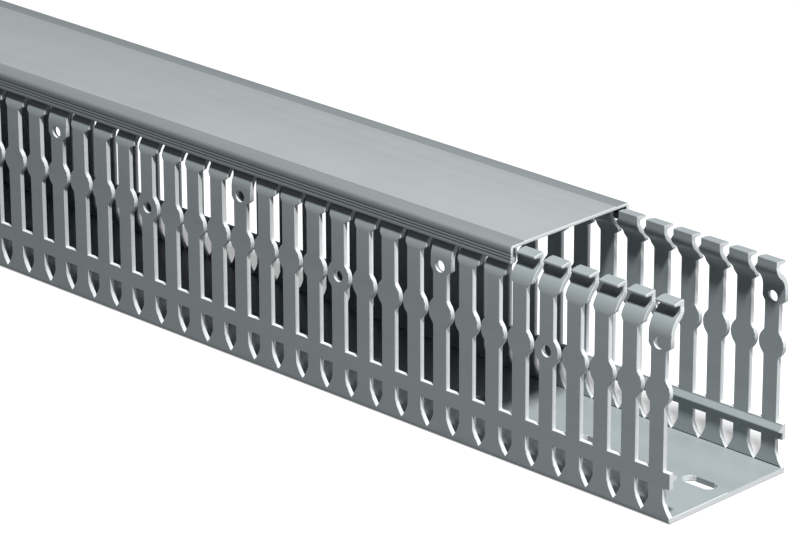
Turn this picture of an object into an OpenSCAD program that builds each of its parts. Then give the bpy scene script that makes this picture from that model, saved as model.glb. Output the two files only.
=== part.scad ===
// Slotted wire duct for control panels: one punched U-shaped body and its clip-over cover.
// Millimetres. X runs along the duct, Y across it and Z up from the underside.
// The end with the cover set back is at +X. All curves are true circles.

/* [Duct] */
// outside width of the body and of the cover
width = 60; // [40:5:100]
// height of the closed duct, from the underside to the cover's top
height = 80; // [60:5:120]
// length of body and cover, made up to whole fingers
length = 1000; // [300:100:1200]
// thickness of the side walls
wall = 1.8; // [1.4:0.1:2.2]
// thickness of the floor
floor_thickness = 2; // [1.5:0.1:3]
// radius of the outside corner between floor and wall
base_corner = 1; // [0.5:0.1:1.4]

/* [Fingers and slots] */
// distance from one finger to the next
pitch = 12.5; // [11:0.5:16]
// width of the straight part of a slot
slot_width = 6; // [4:0.5:6.5]
// gap between the wide heads of two fingers
head_gap = 2.5; // [1.5:0.1:2.8]
// distance that this gap lies off the slot's middle, towards the open end
head_shift = 0.6; // [0:0.1:0.8]
// gap between the round bulges of two fingers
bulge_gap = 1.5; // [1:0.1:2.5]
// radius of the small hollow curve that leads into a bulge
bulge_fillet = 1.75; // [1.25:0.25:2.25]
// height of the bottom of a slot above the underside
slot_bottom = 18.3; // [16:0.1:22]
// height at which a head starts to widen, measured down from the cover's top
head_drop = 12.9; // [12:0.1:16]
// the same for a finger with a hole in its head
low_head_drop = 18.8; // [17:0.1:22]
// height of the slanted widening under a head
head_slant = 1.7; // [1:0.1:2.5]

/* [Lower slots] */
// height of the flat top of a lower slot
low_slot_top = 12.4; // [10:0.1:13]
// height of its pointed tip
low_slot_tip = 2.1; // [2:0.1:4]
// height at which its straight sides end
low_slot_straight = 7.4; // [6:0.1:9]
// radius of the sides below that, which meet in the tip
low_slot_curve = 14; // [12:1:20]

/* [Finger holes] */
// diameter of the round holes
hole_d = 4.3; // [3:0.1:5]
// every so many fingers has a hole, in turn in the head and in the bulge
hole_every = 4; // [2:1:8]
// height of a head hole, measured down from the cover's top
head_hole_drop = 16.4; // [14.5:0.1:18]
// height of the bulges and of the bulge holes, as a share of the closed height
bulge_share = 0.58; // [0.5:0.005:0.6]

/* [Shoulder and hook] */
// outside radius of the shoulder that curves inwards
shoulder_r = 8.7; // [7.5:0.1:10]
// height of the shoulder's start, measured down from the cover's top
shoulder_drop = 13.5; // [13:0.1:15]
// outside radius of the reverse curve that leads from the shoulder up to the neck
reverse_r = 3; // [2.5:0.1:3.5]
// distance from the wall's outer face to the hook's tip
hook_inset = 1.6; // [1.6:0.1:2.2]
// height of the hook's tip face
hook_tip = 0.8; // [0.5:0.1:1.2]
// rise of the hook's top from its tip to its back
hook_rise = 0.6; // [0.4:0.1:0.9]
// fall of the hook's underside from its tip to the neck
hook_fall = 0.3; // [0.1:0.1:0.5]
// distance that a hook stops short of its head, at the end away from the open end
hook_short = 1.2; // [0.5:0.1:1.5]
// the same at the other end
hook_short_front = 0.3; // [0:0.1:0.5]
// depth below the cover's top at which the heads have narrowed to the hooks
hook_drop = 3.7; // [3.5:0.1:4]
// height over which the heads narrow to the hooks
hook_taper = 1.7; // [1:0.1:2]

/* [Inner rail] */
// underside of the rail inside each wall
rail_bottom = 14.9; // [14:0.1:15]
// height of the rail at the wall
rail_height = 2.8; // [2:0.1:3]
// height of the underside's rise from the wall to the rail's edge
rail_rise = 0.9; // [0.4:0.1:1]
// height of the rail's narrow edge
rail_edge = 0.5; // [0.3:0.1:0.8]
// distance the rail stands out from the wall
rail_depth = 2; // [1:0.1:3]

/* [Mounting slots] */
// length of a mounting slot in the floor
mount_length = 14; // [10:1:20]
// width of a mounting slot
mount_width = 6; // [4:0.5:8]
// distance from one mounting slot to the next
mount_spacing = 50; // [25:5:100]
// distance from the open end to the first mounting slot
mount_first = 12.5; // [12:0.5:30]

/* [Cover] */
// thickness of the cover
cover_wall = 1.3; // [1:0.1:1.3]
// height of the cover's sides
cover_side = 6.7; // [6:0.1:7]
// outside radius of the cover's long edges
cover_corner = 1.6; // [1.4:0.1:2]
// distance from the cover's outer face to the tip of the inner lip
lip_reach = 2.9; // [2.5:0.1:3]
// height of the lip where it joins the cover's side
lip_height = 2.2; // [1.8:0.1:2.6]
// height of the slanted lead-in under the lip's tip
lip_lead = 0.7; // [0.4:0.1:0.8]
// height of the lip's tip face
lip_tip = 0.9; // [0.5:0.1:1]
// distance that the cover is set back from the body's open end
setback = 72.9; // [0:0.1:150]
// width of the lowered band along each long edge of the cover's top
band_width = 6.8; // [4:0.1:9]
// depth by which the band is lowered
band_depth = 0.2; // [0.1:0.05:0.4]
// width of a fine groove along the cover's sides
groove_width = 0.4; // [0.2:0.05:0.5]
// depth of a fine groove
groove_depth = 0.25; // [0.1:0.05:0.4]
// distance from one fine groove to the next
groove_pitch = 1.1; // [0.8:0.1:1.2]
// height of the lowest fine groove above the side's lower edge
groove_first = 1.2; // [1:0.1:1.4]
// gap between the hooks' tops and the inside of the cover
clearance = 0.1; // [0.1:0.1:0.5]

/* [Hidden] */
$fn = 72;
fingers = round(length / pitch);
cut_length = fingers * pitch;
open_end = cut_length / 2;                  // X of the end that the cover leaves open
bulge_r = (pitch - bulge_gap) / 2;
bulge_z = height * bulge_share;
finger_half = (pitch - slot_width) / 2;
// The default sizes make these two the short sides of a 20-21-29 triangle scaled by 1/4.
fillet_x = finger_half + bulge_fillet;
fillet_h = sqrt(pow(bulge_r + bulge_fillet, 2) - pow(fillet_x, 2));
head_z = height - head_drop;
low_head_z = height - low_head_drop;
head_hole_z = height - head_hole_drop;
shoulder_z = height - shoulder_drop;
body_top = height - cover_wall - clearance;
hook_top = body_top - hook_rise;            // top edge of the hook's tip
// The shoulder and the reverse curve meet without a corner on the line between their centres.
// It is the long side of a 3-4-5 triangle, so that the two curves share exact decimal points.
lean = [0.6, 0.8];
reverse_d = shoulder_r - lean[0] * (shoulder_r + reverse_r);
neck_z = shoulder_z + lean[1] * (shoulder_r + reverse_r);
neck_inset = reverse_d + reverse_r;         // outer face of the neck
hook_back = neck_inset + wall;              // inner face of the neck
// Each curved side of a lower slot runs from the tip to the end of the straight side.
// Its centre lies on the line through the middle of that run, at a right angle to it.
tip_h = low_slot_straight - low_slot_tip;
tip_run = sqrt(pow(slot_width / 2, 2) + pow(tip_h, 2));
tip_reach = sqrt(pow(low_slot_curve, 2) - pow(tip_run / 2, 2));
tip_x = slot_width / 4 - tip_reach * tip_h / tip_run;
tip_z = low_slot_tip + tip_h / 2 + tip_reach * slot_width / 2 / tip_run;
margin = 1;                                 // by which cutting shapes stand out
mounts = 1 + floor((cut_length - mount_first - mount_length) / mount_spacing);
colour = [0.42, 0.45, 0.46];
cover_colour = [0.62, 0.65, 0.66];

// A band of a circle between two directions, given as vectors no longer than 1.
module arc_band(centre, r_in, r_out, from, to) {
    translate(centre) intersection() {
        difference() {
            circle(r = r_out);
            circle(r = r_in);
        }
        polygon([[0, 0], 3 * r_out * from, 3 * r_out * to]);
    }
}

// Upper end of one wall: shoulder, reverse curve, neck and hook. X is the distance inwards.
module wall_head() {
    arc_band([shoulder_r, shoulder_z], shoulder_r - wall, shoulder_r, [-lean[0], lean[1]], [-1, 0]);
    arc_band([reverse_d, neck_z], reverse_r, reverse_r + wall, [lean[0], -lean[1]], [1, 0]);
    under = hook_top - hook_tip;
    polygon([
        [neck_inset, neck_z], [hook_back, neck_z], [hook_back, body_top],
        [neck_inset, body_top], [hook_inset, hook_top], [hook_inset, under],
        [neck_inset, under - hook_fall]
    ]);
}

// Half of the body's section with its outer face at X = 0 and the duct's middle at width / 2.
module half_section() {
    union() {
        translate([base_corner, 0]) square([width / 2 - base_corner, floor_thickness]);
        translate([0, base_corner]) square([wall, shoulder_z - base_corner]);
        intersection() {
            translate([base_corner, base_corner]) circle(r = base_corner);
            square(base_corner);
        }
        translate([base_corner, base_corner])
            square([wall - base_corner, floor_thickness - base_corner]);
        polygon([
            [wall, rail_bottom], [wall + rail_depth, rail_bottom + rail_rise],
            [wall + rail_depth, rail_bottom + rail_rise + rail_edge],
            [wall, rail_bottom + rail_height]
        ]);
        wall_head();
    }
}

// Both halves of a section drawn from its outer face, standing on X = 0.
module both_halves() {
    translate([-width / 2, 0]) children();
    mirror([1, 0]) translate([-width / 2, 0]) children();
}

// Lays a section out along the duct from one X to another.
module along(from, to) {
    translate([from, 0, 0]) rotate([90, 0, 90]) linear_extrude(to - from) children();
}

// Cuts a shape drawn in X and Z through both walls.
module across() {
    rotate([90, 0, 0]) linear_extrude(width + 2 * margin, center = true) children();
}

function has_head_hole(i) = i >= 0 && i < fingers && i % (2 * hole_every) == 0;
function head_start(i) = has_head_hole(i) ? low_head_z : head_z;
function finger_x(i) = open_end - (i + 0.5) * pitch;

// Bulge of a finger, drawn about its own middle, with a hollow curve at each corner.
module bulge_shape() {
    circle(r = bulge_r);
    for (up = [-1, 1]) difference() {
        polygon([[0, 0], [fillet_x, up * fillet_h], [-fillet_x, up * fillet_h]]);
        for (side = [-1, 1]) translate([side * fillet_x, up * fillet_h])
            circle(r = bulge_fillet);
    }
}

// Slot between finger i - 1 (at +X) and finger i (at -X), drawn about its own middle.
module slot_shape(i) {
    s = slot_width / 2;
    g1 = head_shift - head_gap / 2;
    g2 = head_shift + head_gap / 2;
    h1 = g1 - hook_short_front;
    h2 = g2 + hook_short;
    right = head_start(i - 1);
    left = head_start(i);
    hook_z = height - hook_drop;
    taper_z = hook_z - hook_taper;
    difference() {
        polygon([
            [-s, slot_bottom], [s, slot_bottom], [s, right], [g2, right + head_slant],
            [g2, taper_z], [h2, hook_z], [h2, height], [h1, height], [h1, hook_z],
            [g1, taper_z], [g1, left + head_slant], [-s, left]
        ]);
        for (side = [-1, 1]) translate([side * pitch / 2, bulge_z]) bulge_shape();
    }
}

// Lower slot with a flat top and a pointed tip, drawn about its own middle.
module low_slot_shape() {
    intersection() {
        translate([-slot_width / 2, low_slot_tip - margin])
            square([slot_width, low_slot_top - low_slot_tip + margin]);
        translate([tip_x, tip_z]) circle(r = low_slot_curve);
        translate([-tip_x, tip_z]) circle(r = low_slot_curve);
    }
}

// Mounting slot in the floor, long along X.
module mount_shape() {
    run = mount_length - mount_width;
    square([run, mount_width], center = true);
    for (side = [-1, 1]) translate([side * run / 2, 0]) circle(d = mount_width);
}

module duct_body() {
    color(colour) difference() {
        along(-open_end, open_end) both_halves() half_section();
        for (i = [0:fingers]) translate([open_end - i * pitch, 0, 0]) {
            across() slot_shape(i);
            across() low_slot_shape();
        }
        for (i = [0:2 * hole_every:fingers - 1])
            translate([finger_x(i), 0, head_hole_z]) across() circle(d = hole_d);
        for (i = [hole_every:2 * hole_every:fingers - 1])
            translate([finger_x(i), 0, bulge_z]) across() circle(d = hole_d);
        for (k = [0:mounts - 1])
            translate([open_end - mount_first - k * mount_spacing, 0, -margin])
                linear_extrude(floor_thickness + 2 * margin) mount_shape();
    }
}

// Half of the cover's section, drawn like the body's half.
module half_cover() {
    side_bottom = height - cover_side;
    inner_r = cover_corner - cover_wall;
    difference() {
        union() {
            translate([cover_corner, height - cover_wall])
                square([width / 2 - cover_corner, cover_wall]);
            translate([0, side_bottom]) square([cover_wall, cover_side - cover_corner]);
            translate([cover_corner, height - cover_corner]) intersection() {
                difference() {
                    circle(r = cover_corner);
                    circle(r = inner_r);
                }
                translate([-cover_corner, 0]) square(cover_corner);
            }
            polygon([
                [cover_wall, side_bottom], [lip_reach - lip_lead, side_bottom],
                [lip_reach, side_bottom + lip_lead], [lip_reach, side_bottom + lip_lead + lip_tip],
                [cover_wall, side_bottom + lip_height]
            ]);
        }
        for (k = [0:2])
            translate([-margin, side_bottom + groove_first + k * groove_pitch])
                square([margin + groove_depth, groove_width]);
        translate([cover_corner, height - band_depth])
            square([band_width - cover_corner, band_depth + margin]);
    }
}

module cover() {
    color(cover_colour) along(-open_end - setback, open_end - setback) both_halves() half_cover();
}

duct_body();
cover();
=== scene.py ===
"""Slotted wire duct with its clip-over cover, modelled and dressed for a studio view.

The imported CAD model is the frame. The duct body and the cover are modelled again here with
rounder curves, softened edges and their own finishes, and stand for the plain CAD solids.
Lengths are metres, X runs along the duct, Y across it and Z up from its underside.
"""

import logging
import math
from dataclasses import dataclass, field
from enum import Enum
from typing import Any, Callable, Sequence

import bpy
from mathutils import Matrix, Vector

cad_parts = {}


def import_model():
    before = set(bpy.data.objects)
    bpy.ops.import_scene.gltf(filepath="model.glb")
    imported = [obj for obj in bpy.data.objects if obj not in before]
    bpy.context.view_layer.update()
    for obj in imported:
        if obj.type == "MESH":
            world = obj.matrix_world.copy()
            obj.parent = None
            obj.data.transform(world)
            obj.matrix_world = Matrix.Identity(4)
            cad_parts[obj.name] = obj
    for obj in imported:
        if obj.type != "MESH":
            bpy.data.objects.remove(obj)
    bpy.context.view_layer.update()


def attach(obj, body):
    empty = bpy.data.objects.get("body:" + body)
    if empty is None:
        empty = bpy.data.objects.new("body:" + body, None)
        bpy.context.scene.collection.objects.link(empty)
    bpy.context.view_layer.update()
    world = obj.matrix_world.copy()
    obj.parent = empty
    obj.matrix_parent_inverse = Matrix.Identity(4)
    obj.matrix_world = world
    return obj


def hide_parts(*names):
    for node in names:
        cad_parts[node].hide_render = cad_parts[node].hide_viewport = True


logging.basicConfig(level=logging.INFO, format="%(name)s: %(message)s")
LOG = logging.getLogger("wire_duct")

MM = 0.001
Point = tuple[float, float]
Colour = tuple[float, float, float]


class Plane(Enum):
    """The plane in which an outline is drawn."""

    YZ = "across the duct"
    XZ = "along a wall"
    XY = "along the floor"

    def place(self, point: Point) -> Vector:
        """Returns the point of the plane as a point in space, in metres."""
        a, b = point[0] * MM, point[1] * MM
        return {
            Plane.YZ: Vector((0.0, a, b)),
            Plane.XZ: Vector((a, 0.0, b)),
            Plane.XY: Vector((a, b, 0.0)),
        }[self]

    @property
    def axis(self) -> Vector:
        """Direction about which an angle in the plane grows from its first axis to its second."""
        return {
            Plane.YZ: Vector((1.0, 0.0, 0.0)),
            Plane.XZ: Vector((0.0, -1.0, 0.0)),
            Plane.XY: Vector((0.0, 0.0, 1.0)),
        }[self]


class Body(Enum):
    """The moving bodies of the frame."""

    DUCT = "duct"
    COVER = "cover"


# --------------------------------------------------------------------------- modelling tools


def deselect() -> None:
    """Leaves edit mode and deselects every object."""
    if bpy.context.object is not None and bpy.context.object.mode != "OBJECT":
        bpy.ops.object.mode_set(mode="OBJECT")
    bpy.ops.object.select_all(action="DESELECT")


def activate(obj: bpy.types.Object) -> bpy.types.Object:
    """Makes obj the only selected object and the active one.

    Args:
        obj: The object to work on.

    Returns:
        The same object.
    """
    deselect()
    obj.select_set(True)
    bpy.context.view_layer.objects.active = obj
    return obj


def edit_all(obj: bpy.types.Object) -> None:
    """Enters edit mode on obj with its whole mesh selected."""
    activate(obj)
    bpy.ops.object.mode_set(mode="EDIT")
    bpy.ops.mesh.select_all(action="SELECT")


def select_faces(
    obj: bpy.types.Object, wanted: Callable[[bpy.types.MeshPolygon], bool]
) -> int:
    """Selects the faces of obj for which wanted is true, and nothing else.

    Args:
        obj: A mesh object.
        wanted: Says whether a face is selected, by its place or normal.

    Returns:
        The number of faces selected.
    """
    activate(obj)
    bpy.ops.object.mode_set(mode="EDIT")
    bpy.ops.mesh.select_mode(type="FACE")
    bpy.ops.mesh.select_all(action="DESELECT")
    bpy.ops.object.mode_set(mode="OBJECT")
    count = 0
    for face in obj.data.polygons:
        face.select = wanted(face)
        count += face.select
    return count


def apply_modifier(
    obj: bpy.types.Object, kind: str, **settings: Any
) -> bpy.types.Object:
    """Adds one modifier with these settings and applies it.

    Args:
        obj: The object that gets the modifier.
        kind: The modifier's type.
        settings: Its properties.

    Returns:
        The same object.
    """
    activate(obj)
    modifier = obj.modifiers.new(kind.lower(), kind)
    for name, value in settings.items():
        setattr(modifier, name, value)
    bpy.ops.object.modifier_apply(modifier=modifier.name)
    return obj


def join(parts: Sequence[bpy.types.Object], name: str) -> bpy.types.Object:
    """Joins several objects into the first one.

    Args:
        parts: The objects.
        name: The joined object's name.

    Returns:
        The joined object.
    """
    deselect()
    for part in parts:
        part.select_set(True)
    bpy.context.view_layer.objects.active = parts[0]
    bpy.ops.object.join()
    parts[0].name = name
    return parts[0]


def copy_at(source: bpy.types.Object, offset: Vector) -> bpy.types.Object:
    """Copies an object with its own mesh, moved by offset.

    Args:
        source: The object to copy.
        offset: How far the copy's mesh is moved.

    Returns:
        The copy, standing at the origin.
    """
    activate(source)
    bpy.ops.object.duplicate()
    twin = bpy.context.object
    bpy.ops.object.mode_set(mode="EDIT")
    bpy.ops.mesh.select_all(action="SELECT")
    bpy.ops.transform.translate(value=offset)
    bpy.ops.object.mode_set(mode="OBJECT")
    return twin


class Pen:
    """Draws a closed outline with edit-mode operators: one vertex is extruded and spun along."""

    def __init__(self, name: str, plane: Plane, start: Point) -> None:
        """Puts the pen down.

        Args:
            name: Name of the object that is drawn.
            plane: The plane of the outline.
            start: First point, in millimetres.
        """
        deselect()
        bpy.ops.mesh.primitive_plane_add(size=MM, location=(0.0, 0.0, 0.0))
        self.obj = bpy.context.object
        self.obj.name = name
        self.plane = plane
        self.at: Point = start
        self.start: Point = start
        bpy.ops.object.mode_set(mode="EDIT")
        bpy.ops.mesh.select_mode(type="VERT")
        bpy.ops.mesh.select_all(action="SELECT")
        bpy.ops.mesh.merge(type="CENTER")
        bpy.ops.transform.translate(value=plane.place(start))

    def to(self, *points: Point) -> "Pen":
        """Draws straight lines.

        Args:
            points: The points to go to, in millimetres.

        Returns:
            The pen itself.
        """
        for point in points:
            move = self.plane.place(point) - self.plane.place(self.at)
            bpy.ops.mesh.extrude_region_move(
                TRANSFORM_OT_translate={"value": tuple(move)}
            )
            self.at = point
        return self

    def turn(self, centre: Point, degrees: float, steps: int) -> "Pen":
        """Draws an arc from where the pen is.

        Args:
            centre: The arc's centre, in millimetres.
            degrees: How far it turns, positive from the plane's first axis to its second.
            steps: Number of straight runs that it is made of.

        Returns:
            The pen itself.
        """
        angle = math.radians(degrees)
        dx, dy = self.at[0] - centre[0], self.at[1] - centre[1]
        bpy.ops.mesh.spin(
            steps=steps,
            angle=-angle,  # spin counts the other way round its axis
            center=self.plane.place(centre),
            axis=self.plane.axis,
        )
        self.at = (
            centre[0] + dx * math.cos(angle) - dy * math.sin(angle),
            centre[1] + dx * math.sin(angle) + dy * math.cos(angle),
        )
        return self

    def solid(self, offset: Vector, depth: Vector) -> bpy.types.Object:
        """Closes the outline, fills it and extrudes it.

        Args:
            offset: Where the first face stands, from the drawing's plane.
            depth: How far and which way the outline is extruded.

        Returns:
            The solid, standing at the origin.
        """
        bpy.ops.mesh.select_all(action="SELECT")
        bpy.ops.mesh.remove_doubles(threshold=1e-6)
        bpy.ops.mesh.select_all(action="SELECT")
        bpy.ops.mesh.edge_face_add()
        bpy.ops.transform.translate(value=offset)
        bpy.ops.mesh.extrude_region_move(TRANSFORM_OT_translate={"value": tuple(depth)})
        bpy.ops.mesh.select_all(action="SELECT")
        bpy.ops.mesh.normals_make_consistent(inside=False)
        bpy.ops.object.mode_set(mode="OBJECT")
        return self.obj


# --------------------------------------------------------------------------- shader tools


class Value:
    """A number in a shader. Python's operators on it add Math nodes."""

    def __init__(self, shop: "Shop", socket: bpy.types.NodeSocket) -> None:
        """Wraps the output socket that carries the number."""
        self.shop = shop
        self.socket = socket

    def _math(self, operation: str, *operands: "Value | float") -> "Value":
        """Adds one Math node.

        Args:
            operation: The node's operation.
            operands: Its inputs in order.

        Returns:
            The node's result.
        """
        values = dict(enumerate(operands))
        return self.shop.add("ShaderNodeMath", {"operation": operation}, values)

    def __add__(self, other: "Value | float") -> "Value":
        """Sum."""
        return self._math("ADD", self, other)

    __radd__ = __add__

    def __sub__(self, other: "Value | float") -> "Value":
        """Difference."""
        return self._math("SUBTRACT", self, other)

    def __rsub__(self, other: float) -> "Value":
        """Difference from a plain number."""
        return self._math("SUBTRACT", other, self)

    def __mul__(self, other: "Value | float") -> "Value":
        """Product."""
        return self._math("MULTIPLY", self, other)

    __rmul__ = __mul__

    def __abs__(self) -> "Value":
        """Size without sign."""
        return self._math("ABSOLUTE", self)

    def __gt__(self, other: "Value | float") -> "Value":
        """1 where this is the greater, otherwise 0."""
        return self._math("GREATER_THAN", self, other)

    def clamped(self) -> "Value":
        """This number held between 0 and 1."""
        return self.shop.add("ShaderNodeClamp", {}, {0: self})


class Shop:
    """Adds nodes to one material or world."""

    def __init__(self, tree: bpy.types.NodeTree) -> None:
        """Starts on an empty node tree."""
        tree.nodes.clear()
        self.tree = tree

    def node(
        self, kind: str, settings: dict[str, Any], inputs: dict[int | str, Any]
    ) -> bpy.types.Node:
        """Adds a node, makes its settings and then fills or links its sockets.

        Args:
            kind: The node's type.
            settings: Its properties. A key "stops" holds a ramp's (place, colour) pairs.
            inputs: Values, Values in a shader, or output sockets, by input name or number.

        Returns:
            The node.
        """
        node = self.tree.nodes.new(kind)
        for name, value in settings.items():
            if name == "stops":
                elements = node.color_ramp.elements
                while len(elements) < len(value):
                    elements.new(1.0)
                for element, (place, colour) in zip(elements, value):
                    element.position = place
                    element.color = (*colour, 1.0)
            else:
                setattr(node, name, value)
        for key, value in inputs.items():
            if isinstance(value, Value):
                value = value.socket
            if isinstance(value, bpy.types.NodeSocket):
                self.tree.links.new(value, node.inputs[key])
            else:
                node.inputs[key].default_value = value
        return node

    def add(
        self,
        kind: str,
        settings: dict[str, Any],
        inputs: dict[int | str, Any],
        output: int | str = 0,
    ) -> Value:
        """Adds a node and returns one of its outputs as a Value."""
        return Value(self, self.node(kind, settings, inputs).outputs[output])

    def mix(
        self, factor: Value, first: Colour | Value, second: Colour | Value
    ) -> Value:
        """Mixes two colours.

        Args:
            factor: 0 gives the first colour and 1 the second.
            first: A colour, or a colour from a node.
            second: A colour, or a colour from a node.

        Returns:
            The mixed colour.
        """
        sides = [c if isinstance(c, Value) else (*c, 1.0) for c in (first, second)]
        return self.add(
            "ShaderNodeMix",
            {"data_type": "RGBA"},
            {"Factor": factor, 6: sides[0], 7: sides[1]},
            2,
        )

    def noise(
        self, stretch: tuple[float, float, float], scale: float, detail: float
    ) -> Value:
        """Noise on Object coordinates.

        Args:
            stretch: Scale along each axis.
            scale: The noise's own scale.
            detail: Its detail.

        Returns:
            The noise, about 0.5 on average.
        """
        place = self.add("ShaderNodeTexCoord", {}, {}, "Object")
        mapped = self.add("ShaderNodeMapping", {}, {"Vector": place, "Scale": stretch})
        return self.add(
            "ShaderNodeTexNoise",
            {},
            {"Vector": mapped, "Scale": scale, "Detail": detail, "Roughness": 0.55},
        )


@dataclass(frozen=True)
class DuctPlastic:
    """Extruded rigid plastic: drawn streaks along X, faint mottling and a satin skin."""

    name: str
    base: Colour
    dark: Colour
    roughness: float = 0.42
    streak: float = 0.5
    grain_depth: float = 0.00004

    def build(self) -> bpy.types.Material:
        """Makes the material.

        Returns:
            The finished material.
        """
        material = bpy.data.materials.new(self.name)
        material.use_nodes = True
        shop = Shop(material.node_tree)
        streaks = shop.noise((3.0, 260.0, 260.0), 1.0, 3.0)
        broad = shop.noise((1.2, 28.0, 28.0), 1.0, 2.0)
        mottle = shop.noise((1.0, 1.0, 1.0), 42.0, 3.0)
        grain = shop.noise((1.0, 1.0, 1.0), 1400.0, 2.0)
        wear = (
            streaks * self.streak + broad * 0.3 + mottle * (0.7 - self.streak)
        ).clamped()
        colour = shop.mix((wear - 0.2) * 1.6, self.dark, self.base)
        rough = (self.roughness + (streaks - 0.5) * 0.22 + (mottle - 0.5) * 0.12).clamped()
        height = streaks * 0.6 + grain * 0.4
        bump = shop.add(
            "ShaderNodeBump",
            {},
            {"Strength": 0.35, "Distance": self.grain_depth, "Height": height},
        )
        shader = shop.node(
            "ShaderNodeBsdfPrincipled",
            {},
            {
                "Base Color": colour,
                "Roughness": rough,
                "Normal": bump,
                "IOR": 1.46,
                "Specular IOR Level": 0.5,
            },
        )
        shop.node("ShaderNodeOutputMaterial", {}, {"Surface": shader.outputs[0]})
        return material


@dataclass(frozen=True)
class CutWhiteningAndPaintedLight:
    """The slightly torn face that the punch or the saw leaves. Its pale colour comes partly from
    the whitening of the cut and partly as painted light, standing in for the strong light that
    these faces catch.
    """

    name: str
    base: Colour
    dark: Colour
    roughness: float = 0.62

    def build(self) -> bpy.types.Material:
        """Makes the material.

        Returns:
            The finished material.
        """
        material = bpy.data.materials.new(self.name)
        material.use_nodes = True
        shop = Shop(material.node_tree)
        tear = shop.noise((420.0, 60.0, 420.0), 1.0, 4.0)
        mottle = shop.noise((1.0, 1.0, 1.0), 90.0, 2.0)
        colour = shop.mix((tear * 0.6 + mottle * 0.4).clamped(), self.dark, self.base)
        rough = (self.roughness + (tear - 0.5) * 0.3).clamped()
        bump = shop.add(
            "ShaderNodeBump", {}, {"Strength": 0.5, "Distance": 0.00006, "Height": tear}
        )
        shader = shop.node(
            "ShaderNodeBsdfPrincipled",
            {},
            {"Base Color": colour, "Roughness": rough, "Normal": bump, "IOR": 1.46},
        )
        shop.node("ShaderNodeOutputMaterial", {}, {"Surface": shader.outputs[0]})
        return material


# --------------------------------------------------------------------------- the duct


@dataclass
class WallProfile:
    """Half of the body's section, from its outer face inwards. Lengths are millimetres."""

    half_width: float = 30.0
    height: float = 80.0
    wall: float = 1.8
    floor: float = 2.0
    base_corner: float = 1.0
    shoulder_r: float = 8.7
    shoulder_z: float = 66.5
    reverse_r: float = 3.0
    hook_inset: float = 1.6
    hook_tip: float = 0.8
    hook_rise: float = 0.6
    hook_fall: float = 0.3
    body_top: float = 78.6
    rail_bottom: float = 14.9
    rail_height: float = 2.8
    rail_rise: float = 0.9
    rail_edge: float = 0.5
    rail_depth: float = 2.0
    lean: Point = (0.6, 0.8)

    def draw(self) -> Pen:
        """Draws the half section of the near wall and floor.

        Returns:
            The pen, back at its start.
        """
        y0, w = -self.half_width, self.wall
        inner = y0 + w
        turn = math.degrees(math.atan2(self.lean[1], self.lean[0]))
        reach = self.shoulder_r + self.reverse_r
        back_y = y0 + self.shoulder_r - self.lean[0] * reach
        neck_z = self.shoulder_z + self.lean[1] * reach
        neck = back_y + self.reverse_r
        hook_top = self.body_top - self.hook_rise
        tip_low = hook_top - self.hook_tip
        shoulder = (y0 + self.shoulder_r, self.shoulder_z)
        reverse = (back_y, neck_z)
        pen = Pen("duct_body_shell", Plane.YZ, (0.0, 0.0))
        pen.to((y0 + self.base_corner, 0.0))
        pen.turn((y0 + self.base_corner, self.base_corner), -90.0, 5)
        pen.to((y0, self.shoulder_z))
        pen.turn(shoulder, -turn, 7)
        pen.turn(reverse, turn, 5)
        pen.to(
            (neck, tip_low - self.hook_fall),
            (y0 + self.hook_inset, tip_low),
            (y0 + self.hook_inset, hook_top),
            (neck, self.body_top),
            (neck + w, self.body_top),
            (neck + w, neck_z),
        )
        pen.turn(reverse, -turn, 5)
        pen.turn(shoulder, turn, 6)
        rail = inner + self.rail_depth
        low = self.rail_bottom + self.rail_rise
        pen.to(
            (inner, self.rail_bottom + self.rail_height),
            (rail, low + self.rail_edge),
            (rail, low),
            (inner, self.rail_bottom),
            (inner, self.floor),
            (0.0, self.floor),
            (0.0, 0.0),
        )
        return pen


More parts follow.
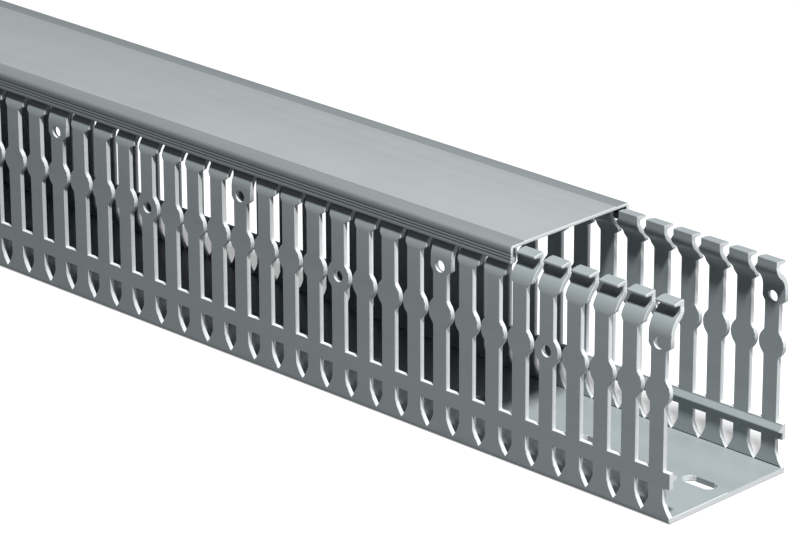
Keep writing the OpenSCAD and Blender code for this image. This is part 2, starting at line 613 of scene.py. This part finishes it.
@dataclass
class FingerPattern:
    """Everything that is punched out of one wall. Lengths are millimetres."""

    pitch: float = 12.5
    slot_width: float = 6.0
    slot_bottom: float = 18.3
    head_start: float = 67.1
    low_head_start: float = 61.2
    head_slant: float = 1.7
    head_gap: float = 2.5
    head_shift: float = 0.6
    hook_z: float = 76.3
    hook_taper: float = 1.7
    hook_short: float = 1.2
    hook_short_front: float = 0.3
    bulge_z: float = 46.4
    bulge_gap: float = 1.5
    bulge_fillet: float = 1.75
    low_slot_top: float = 12.4
    low_slot_tip: float = 2.1
    low_slot_straight: float = 7.4
    low_slot_curve: float = 14.0
    hole_d: float = 4.3
    head_hole_z: float = 63.6
    top: float = 81.0

    def _bulge(self, pen: Pen, side: int) -> None:
        """Draws one side of a slot past the bulge of its finger.

        Args:
            pen: The pen, at the slot's edge.
            side: 1 draws upwards past the finger at +X, -1 downwards past the one at -X.
        """
        radius = (self.pitch - self.bulge_gap) / 2
        half = (self.pitch - self.slot_width) / 2
        fx = half + self.bulge_fillet
        fz = math.sqrt((radius + self.bulge_fillet) ** 2 - fx**2)
        turn = math.degrees(math.atan2(fz, fx))
        finger = side * self.pitch / 2
        near = finger - side * fx
        edge = side * self.slot_width / 2
        pen.to((edge, self.bulge_z - side * fz))
        pen.turn((near, self.bulge_z - side * fz), turn, 3)
        pen.turn((finger, self.bulge_z), -2 * turn, 10)
        pen.turn((near, self.bulge_z + side * fz), turn, 3)

    def slot(self, right_start: float, left_start: float) -> bpy.types.Object:
        """Cutting shape of a slot between two fingers, about its own middle.

        Args:
            right_start: Height at which the head at +X starts to widen.
            left_start: The same for the finger at -X.

        Returns:
            The cutting shape.
        """
        s = self.slot_width / 2
        g1 = self.head_shift - self.head_gap / 2
        g2 = self.head_shift + self.head_gap / 2
        h1, h2 = g1 - self.hook_short_front, g2 + self.hook_short
        taper = self.hook_z - self.hook_taper
        pen = Pen("slot_cutter", Plane.XZ, (-s, self.slot_bottom))
        pen.to((s, self.slot_bottom))
        self._bulge(pen, 1)
        pen.to(
            (s, right_start),
            (g2, right_start + self.head_slant),
            (g2, taper),
            (h2, self.hook_z),
            (h2, self.top),
            (h1, self.top),
            (h1, self.hook_z),
            (g1, taper),
            (g1, left_start + self.head_slant),
            (-s, left_start),
        )
        self._bulge(pen, -1)
        pen.to((-s, self.slot_bottom))
        return self._through_wall(pen)

    def low_slot(self) -> bpy.types.Object:
        """Cutting shape of the pointed slot under the fingers' roots."""
        s = self.slot_width / 2
        rise = self.low_slot_straight - self.low_slot_tip
        run = math.hypot(s, rise)
        reach = math.sqrt(self.low_slot_curve**2 - (run / 2) ** 2)
        cx = s / 2 - reach * rise / run
        cz = self.low_slot_tip + rise / 2 + reach * s / run
        turn = 2 * math.degrees(math.asin(run / 2 / self.low_slot_curve))
        pen = Pen("low_slot_cutter", Plane.XZ, (-s, self.low_slot_top))
        pen.to((s, self.low_slot_top), (s, self.low_slot_straight))
        pen.turn((cx, cz), -turn, 5)
        pen.turn((-cx, cz), -turn, 5)
        pen.to((-s, self.low_slot_top))
        return self._through_wall(pen)

    def hole(self, z: float) -> bpy.types.Object:
        """Cutting shape of a round hole in a finger, about the finger's middle."""
        deselect()
        bpy.ops.mesh.primitive_cylinder_add(
            vertices=36,
            radius=self.hole_d / 2 * MM,
            depth=20 * MM,
            location=(0.0, -28 * MM, z * MM),
            rotation=(math.pi / 2, 0.0, 0.0),
        )
        obj = bpy.context.object
        bpy.ops.object.transform_apply(location=True, rotation=True, scale=True)
        return obj

    @staticmethod
    def _through_wall(pen: Pen) -> bpy.types.Object:
        """Extrudes an outline through the near wall and its hook."""
        return pen.solid(Vector((0.0, -35 * MM, 0.0)), Vector((0.0, 20 * MM, 0.0)))


@dataclass
class DuctBody:
    """The U-shaped body: one extruded section with everything punched out of it."""

    profile: WallProfile = field(default_factory=WallProfile)
    fingers: FingerPattern = field(default_factory=FingerPattern)
    length: float = 1000.0
    module_fingers: int = 8
    mount_length: float = 14.0
    mount_width: float = 6.0
    mount_first: float = 12.5
    mount_spacing: float = 50.0
    edge: float = 0.12
    node: str = "duct_body"

    @property
    def module(self) -> float:
        """Length after which the punched pattern repeats."""
        return self.module_fingers * self.fingers.pitch

    def _mount_slot(self) -> bpy.types.Object:
        """Cutting shape of a mounting slot in the floor, about its own middle."""
        run = (self.mount_length - self.mount_width) / 2
        radius = self.mount_width / 2
        pen = Pen("mount_cutter", Plane.XY, (-run, -radius))
        pen.to((run, -radius)).turn((run, 0.0), 180.0, 14)
        pen.to((-run, radius)).turn((-run, 0.0), 180.0, 14)
        return pen.solid(Vector((0.0, 0.0, -2 * MM)), Vector((0.0, 0.0, 6 * MM)))

    def _cutters(self, end: float) -> bpy.types.Object:
        """All cutting shapes of one module, joined.

        Args:
            end: X of the module's +X end, in millimetres.

        Returns:
            The joined cutting shapes.
        """
        f, n = self.fingers, self.module_fingers
        plain = f.slot(f.head_start, f.head_start)
        before_low = f.slot(f.head_start, f.low_head_start)
        after_low = f.slot(f.low_head_start, f.head_start)
        low = f.low_slot()
        parts: list[bpy.types.Object] = []
        for i in range(n + 1):
            place = Vector(((end - i * f.pitch) * MM, 0.0, 0.0))
            kind = {0: before_low, 1: after_low}.get(i % n, plain)
            parts += [copy_at(kind, place), copy_at(low, place)]
        for i, z in ((0, f.head_hole_z), (n // 2, f.bulge_z)):
            hole = f.hole(z)
            place = Vector(((end - (i + 0.5) * f.pitch) * MM, 0.0, 0.0))
            parts.append(copy_at(hole, place))
            bpy.data.objects.remove(hole)
        mount = self._mount_slot()
        for k in range(round(self.module / self.mount_spacing)):
            x = end - self.mount_first - k * self.mount_spacing
            parts.append(copy_at(mount, Vector((x * MM, 0.0, 0.0))))
        for shape in (plain, before_low, after_low, low, mount):
            bpy.data.objects.remove(shape)
        return join(parts, "duct_cutters")

    def model(self) -> bpy.types.Object:
        """Models the whole body.

        Returns:
            The body, with its punched and sawn faces in material slot 1.
        """
        end = self.length / 2
        shell = self.profile.draw().solid(
            Vector(((end - self.module) * MM, 0.0, 0.0)),
            Vector((self.module * MM, 0.0, 0.0)),
        )
        cutters = self._cutters(end)
        apply_modifier(
            shell, "BOOLEAN", operation="DIFFERENCE", solver="EXACT", object=cutters
        )
        bpy.data.objects.remove(cutters)
        seam = (end * MM, (end - self.module) * MM)
        select_faces(
            shell,
            lambda face: abs(face.normal.y) > 0.99
            and abs(face.center.y) < 1e-5
            or abs(face.normal.x) > 0.99
            and min(abs(face.center.x - x) for x in seam) < 1e-5,
        )
        bpy.ops.object.mode_set(mode="EDIT")
        bpy.ops.mesh.delete(type="FACE")
        bpy.ops.mesh.select_all(action="SELECT")
        bpy.ops.mesh.remove_doubles(threshold=2e-6)
        bpy.ops.object.mode_set(mode="OBJECT")
        apply_modifier(
            shell,
            "MIRROR",
            use_axis=(False, True, False),
            use_mirror_merge=True,
            merge_threshold=5e-6,
        )
        apply_modifier(
            shell,
            "ARRAY",
            count=round(self.length / self.module),
            use_relative_offset=False,
            use_constant_offset=True,
            constant_offset_displace=(-self.module * MM, 0.0, 0.0),
            use_merge_vertices=True,
            merge_threshold=5e-6,
        )
        edit_all(shell)
        bpy.ops.mesh.fill_holes(sides=0)
        bpy.ops.mesh.select_all(action="SELECT")
        bpy.ops.mesh.normals_make_consistent(inside=False)
        bpy.ops.object.mode_set(mode="OBJECT")
        return shell

    def _is_cut(self, face: bpy.types.MeshPolygon) -> bool:
        """Says whether a face was left by the punch or the saw."""
        if abs(face.normal.x) > 0.02:
            return True
        in_wall = abs(face.center.y) > (self.profile.half_width - self.profile.wall) * MM
        between = (
            self.fingers.low_slot_tip * MM
            < face.center.z
            < self.fingers.head_start * MM
        )
        return abs(face.normal.z) > 0.5 and in_wall and between

    def dress(self, shell: bpy.types.Object, skin: DuctPlastic, cut: CutWhiteningAndPaintedLight) -> None:
        """Gives the body its finishes, its softened edges and its place in the frame.

        Args:
            shell: The modelled body.
            skin: Finish of the extruded faces.
            cut: Finish of the punched and sawn faces, pale partly from the whitening of the cut
                and partly as painted light.
        """
        shell.data.materials.clear()
        shell.data.materials.append(skin.build())
        shell.data.materials.append(cut.build())
        # Punched and sawn faces take the pale finish in slot 1. It is partly the whitening of the
        # cut and partly painted light for the strong light that these faces catch.
        for face in shell.data.polygons:
            face.material_index = int(self._is_cut(face))
        apply_modifier(
            shell,
            "BEVEL",
            width=self.edge * MM,
            segments=1,
            limit_method="ANGLE",
            angle_limit=math.radians(40),
            use_clamp_overlap=False,
            harden_normals=False,
        )
        activate(shell)
        bpy.ops.object.shade_smooth_by_angle(angle=math.radians(28))
        apply_modifier(shell, "TRIANGULATE", min_vertices=5)
        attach(shell, Body.DUCT.value)
        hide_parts(self.node)

    def build(self, skin: DuctPlastic, cut: CutWhiteningAndPaintedLight) -> bpy.types.Object:
        """Models and dresses the body.

        Args:
            skin: Finish of the extruded faces.
            cut: Finish of the punched and sawn faces, pale partly from the whitening of the cut
                and partly as painted light.

        Returns:
            The finished body.
        """
        shell = self.model()
        self.dress(shell, skin, cut)
        return shell


@dataclass
class Cover:
    """The clip-over cover: one extruded section. Lengths are millimetres."""

    half_width: float = 30.0
    height: float = 80.0
    wall: float = 1.3
    side: float = 6.7
    corner: float = 1.6
    lip_reach: float = 2.9
    lip_height: float = 2.2
    lip_lead: float = 0.7
    lip_tip: float = 0.9
    band_width: float = 6.8
    band_depth: float = 0.2
    groove_first: float = 1.2
    groove_pitch: float = 1.1
    groove_width: float = 0.4
    groove_depth: float = 0.25
    grooves: int = 3
    length: float = 1000.0
    setback: float = 72.9
    edge: float = 0.08
    node: str = "cover"

    def model(self) -> bpy.types.Object:
        """Models the cover.

        Returns:
            The cover, closed at both ends.
        """
        y0, top = -self.half_width, self.height
        low = top - self.side
        inner = self.corner - self.wall
        pen = Pen("cover_shell", Plane.YZ, (0.0, top))
        pen.to((0.0, top - self.wall), (y0 + self.corner, top - self.wall))
        pen.turn((y0 + self.corner, top - self.corner), 90.0, 4)
        pen.to(
            (y0 + self.wall, low + self.lip_height),
            (y0 + self.lip_reach, low + self.lip_lead + self.lip_tip),
            (y0 + self.lip_reach, low + self.lip_lead),
            (y0 + self.lip_reach - self.lip_lead, low),
            (y0, low),
        )
        for k in range(self.grooves):
            z = low + self.groove_first + k * self.groove_pitch
            bed = y0 + self.groove_depth
            pen.to((y0, z), (bed, z), (bed, z + self.groove_width))
            pen.to((y0, z + self.groove_width))
        pen.to((y0, top - self.corner))
        drop = math.degrees(math.acos(1 - self.band_depth / self.corner))
        pen.turn((y0 + self.corner, top - self.corner), -(90.0 - drop), 6)
        pen.to(
            (y0 + self.band_width, top - self.band_depth),
            (y0 + self.band_width, top),
            (0.0, top),
        )
        back = -self.length / 2 - self.setback
        shell = pen.solid(
            Vector((back * MM, 0.0, 0.0)), Vector((self.length * MM, 0.0, 0.0))
        )
        select_faces(
            shell,
            lambda face: abs(face.normal.y) > 0.99 and abs(face.center.y) < 1e-6,
        )
        bpy.ops.object.mode_set(mode="EDIT")
        bpy.ops.mesh.delete(type="FACE")
        bpy.ops.object.mode_set(mode="OBJECT")
        apply_modifier(
            shell,
            "MIRROR",
            use_axis=(False, True, False),
            use_mirror_merge=True,
            merge_threshold=5e-6,
        )
        edit_all(shell)
        bpy.ops.mesh.normals_make_consistent(inside=False)
        bpy.ops.object.mode_set(mode="OBJECT")
        return shell

    def dress(
        self,
        shell: bpy.types.Object,
        skin: DuctPlastic,
        painted_shade_edges: DuctPlastic,
        cut: CutWhiteningAndPaintedLight,
    ) -> None:
        """Gives the cover its finishes, its softened edges and its place in the frame.

        Args:
            shell: The modelled cover.
            skin: Finish of the extruded faces.
            painted_shade_edges: Finish of the bands along both edges and of the sides, darker as
                painted shade for the shade that falls on the sides and the rounded edges.
            cut: Finish of the two sawn ends, pale partly from the whitening of the saw and partly
                as painted light.
        """
        shell.data.materials.clear()
        for finish in (skin, cut, painted_shade_edges):
            shell.data.materials.append(finish.build())
        band_start = (self.half_width - self.band_width) * MM
        for face in shell.data.polygons:
            # The sawn ends take the pale finish. It is partly the whitening of the saw and partly
            # painted light.
            if abs(face.normal.x) > 0.5:
                face.material_index = 1
            # Faces near both edges, the sides included, take the darker finish. This is painted
            # shade, standing in for the shade that falls on the sides and the rounded edges.
            elif abs(face.center.y) > band_start:
                face.material_index = 2
        apply_modifier(
            shell,
            "BEVEL",
            width=self.edge * MM,
            segments=2,
            limit_method="ANGLE",
            angle_limit=math.radians(35),
            use_clamp_overlap=False,
            harden_normals=False,
        )
        activate(shell)
        bpy.ops.object.shade_smooth_by_angle(angle=math.radians(28))
        apply_modifier(shell, "TRIANGULATE", min_vertices=5)
        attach(shell, Body.COVER.value)
        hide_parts(self.node)

    def build(
        self, skin: DuctPlastic, painted_shade_edges: DuctPlastic, cut: CutWhiteningAndPaintedLight
    ) -> bpy.types.Object:
        """Models and dresses the cover.

        Args:
            skin: Finish of the extruded faces.
            painted_shade_edges: Finish of the bands along both edges and of the sides, darker as
                painted shade for the shade that falls on the sides and the rounded edges.
            cut: Finish of the two sawn ends, pale partly from the whitening of the saw and partly
                as painted light.

        Returns:
            The finished cover.
        """
        shell = self.model()
        self.dress(shell, skin, painted_shade_edges, cut)
        return shell


# --------------------------------------------------------------------------- the studio


@dataclass(frozen=True)
class Lamp:
    """One area lamp that looks at a point."""

    name: str
    place: tuple[float, float, float]
    aim: tuple[float, float, float]
    size: float
    power: float
    colour: Colour = (1.0, 1.0, 1.0)

    def build(self) -> bpy.types.Object:
        """Adds the lamp.

        Returns:
            The lamp's object.
        """
        light = bpy.data.lights.new(self.name, "AREA")
        light.shape = "DISK"
        light.size = self.size
        light.energy = self.power
        light.color = self.colour
        obj = bpy.data.objects.new(self.name, light)
        bpy.context.scene.collection.objects.link(obj)
        obj.location = self.place
        way = Vector(self.aim) - Vector(self.place)
        obj.rotation_euler = way.to_track_quat("-Z", "Y").to_euler()
        return obj


@dataclass
class Studio:
    """Camera, lamps, world and a pale floor."""

    camera_place: tuple[float, float, float] = (1.34279882, -1.01023973, 0.59297566)
    camera_turn: tuple[float, float, float] = (1.20032942, 0.00319865, 0.7779949)
    camera_lens: float = 191.4548
    ambient: float = 0.015
    lamps: Sequence[Lamp] = (
        Lamp("key_lamp", (1.12, -0.5, 1.95), (0.95, 0.0, 0.05), 0.3, 76.0),
        Lamp("side_lamp", (1.6, 0.26, 0.33), (0.95, 0.0, 0.05), 0.2, 5.0),
    )

    def _backdrop(self, tree: bpy.types.NodeTree, seen: Colour, strength: float) -> None:
        """Lights the world dimly but shows it white.

        Args:
            tree: The world's node tree.
            seen: Colour that the camera and reflections see.
            strength: Strength of the light that the world gives.
        """
        shop = Shop(tree)
        rays = shop.node("ShaderNodeLightPath", {}, {})
        view = Value(shop, rays.outputs["Is Camera Ray"])
        glass = Value(shop, rays.outputs["Is Transmission Ray"])
        gloss = Value(shop, rays.outputs["Is Glossy Ray"])
        shown = (view + glass + gloss * 0.35).clamped()
        dim = shop.node(
            "ShaderNodeBackground",
            {},
            {"Color": (0.93, 0.97, 1.0, 1.0), "Strength": strength},
        )
        white = shop.node(
            "ShaderNodeBackground", {}, {"Color": (*seen, 1.0), "Strength": 1.0}
        )
        both = shop.node(
            "ShaderNodeMixShader",
            {},
            {0: shown, 1: dim.outputs[0], 2: white.outputs[0]},
        )
        shop.node("ShaderNodeOutputWorld", {}, {"Surface": both.outputs[0]})

    def _floor(self) -> bpy.types.Object:
        """Adds the pale floor, which looks white and keeps the object's shadow."""
        deselect()
        bpy.ops.mesh.primitive_plane_add(size=24.0, location=(0.0, 0.0, -0.0002))
        floor = bpy.context.object
        floor.name = "studio_floor"
        bpy.ops.object.transform_apply(location=True, rotation=True, scale=True)
        material = bpy.data.materials.new("pale_floor")
        material.use_nodes = True
        shop = Shop(material.node_tree)
        rays = shop.node("ShaderNodeLightPath", {}, {})
        view = Value(shop, rays.outputs["Is Camera Ray"])
        glass = Value(shop, rays.outputs["Is Transmission Ray"])
        gloss = Value(shop, rays.outputs["Is Glossy Ray"])
        matt = shop.node(
            "ShaderNodeBsdfDiffuse", {}, {"Color": (0.16, 0.165, 0.17, 1.0)}
        )
        pale = shop.node(
            "ShaderNodeBsdfDiffuse", {}, {"Color": (0.85, 0.86, 0.87, 1.0)}
        )
        glow = shop.node(
            "ShaderNodeEmission",
            {},
            {"Color": (1.0, 1.0, 1.0, 1.0), "Strength": 1.5},
        )
        lit = shop.node(
            "ShaderNodeMixShader", {}, {0: 0.25, 1: pale.outputs[0], 2: glow.outputs[0]}
        )
        shown = (view + glass + gloss * 0.35).clamped()
        both = shop.node(
            "ShaderNodeMixShader",
            {},
            {0: shown, 1: matt.outputs[0], 2: lit.outputs[0]},
        )
        shop.node("ShaderNodeOutputMaterial", {}, {"Surface": both.outputs[0]})
        floor.data.materials.append(material)
        return floor

    def build(self) -> None:
        """Builds the studio and makes its camera the scene's camera."""
        camera = bpy.data.cameras.new("studio_camera")
        camera.lens = self.camera_lens
        camera.sensor_width = 36.0
        camera.clip_end = 60.0
        obj = bpy.data.objects.new("studio_camera", camera)
        bpy.context.scene.collection.objects.link(obj)
        obj.location = self.camera_place
        obj.rotation_euler = self.camera_turn
        bpy.context.scene.camera = obj
        world = bpy.data.worlds.new("studio_world")
        world.use_nodes = True
        bpy.context.scene.world = world
        self._backdrop(world.node_tree, (1.0, 1.0, 1.0), self.ambient)
        for lamp in self.lamps:
            lamp.build()
        self._floor()
        bpy.context.scene.view_settings.view_transform = "Standard"
        LOG.info("studio: %d lamps and a pale floor", len(self.lamps))


def report(piece: bpy.types.Object) -> None:
    """Logs a piece's size and the number of its triangles."""
    triangles = sum(len(face.vertices) - 2 for face in piece.data.polygons)
    size = [round(value / MM, 1) for value in piece.dimensions]
    LOG.info("%s: %s mm, %d triangles", piece.name, size, triangles)


def main() -> None:
    """Loads the frame and builds the duct, its cover and the studio."""
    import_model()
    Studio().build()
    skin = DuctPlastic("duct_plastic", (0.30, 0.335, 0.345), (0.24, 0.27, 0.28))
    cover_skin = DuctPlastic(
        "cover_plastic", (0.30, 0.32, 0.325), (0.25, 0.27, 0.275), streak=0.35
    )
    # The darker edge finish is painted shade, standing in for the shade on the cover's sides and
    # rounded edges.
    painted_shade_edges = DuctPlastic(
        "cover_edge_painted_shade", (0.20, 0.22, 0.225), (0.15, 0.17, 0.175), streak=0.65
    )
    # The pale cut finishes are partly the whitening of punch and saw, and partly painted light
    # for the light that those faces catch.
    cut = CutWhiteningAndPaintedLight("punched_whitening_and_painted_light", (0.76, 0.78, 0.79), (0.55, 0.58, 0.59))
    sawn = CutWhiteningAndPaintedLight("sawn_whitening_and_painted_light", (0.78, 0.80, 0.81), (0.62, 0.65, 0.66))
    report(DuctBody().build(skin, cut))
    report(Cover().build(cover_skin, painted_shade_edges, sawn))


if __name__ == "__main__":
    main()
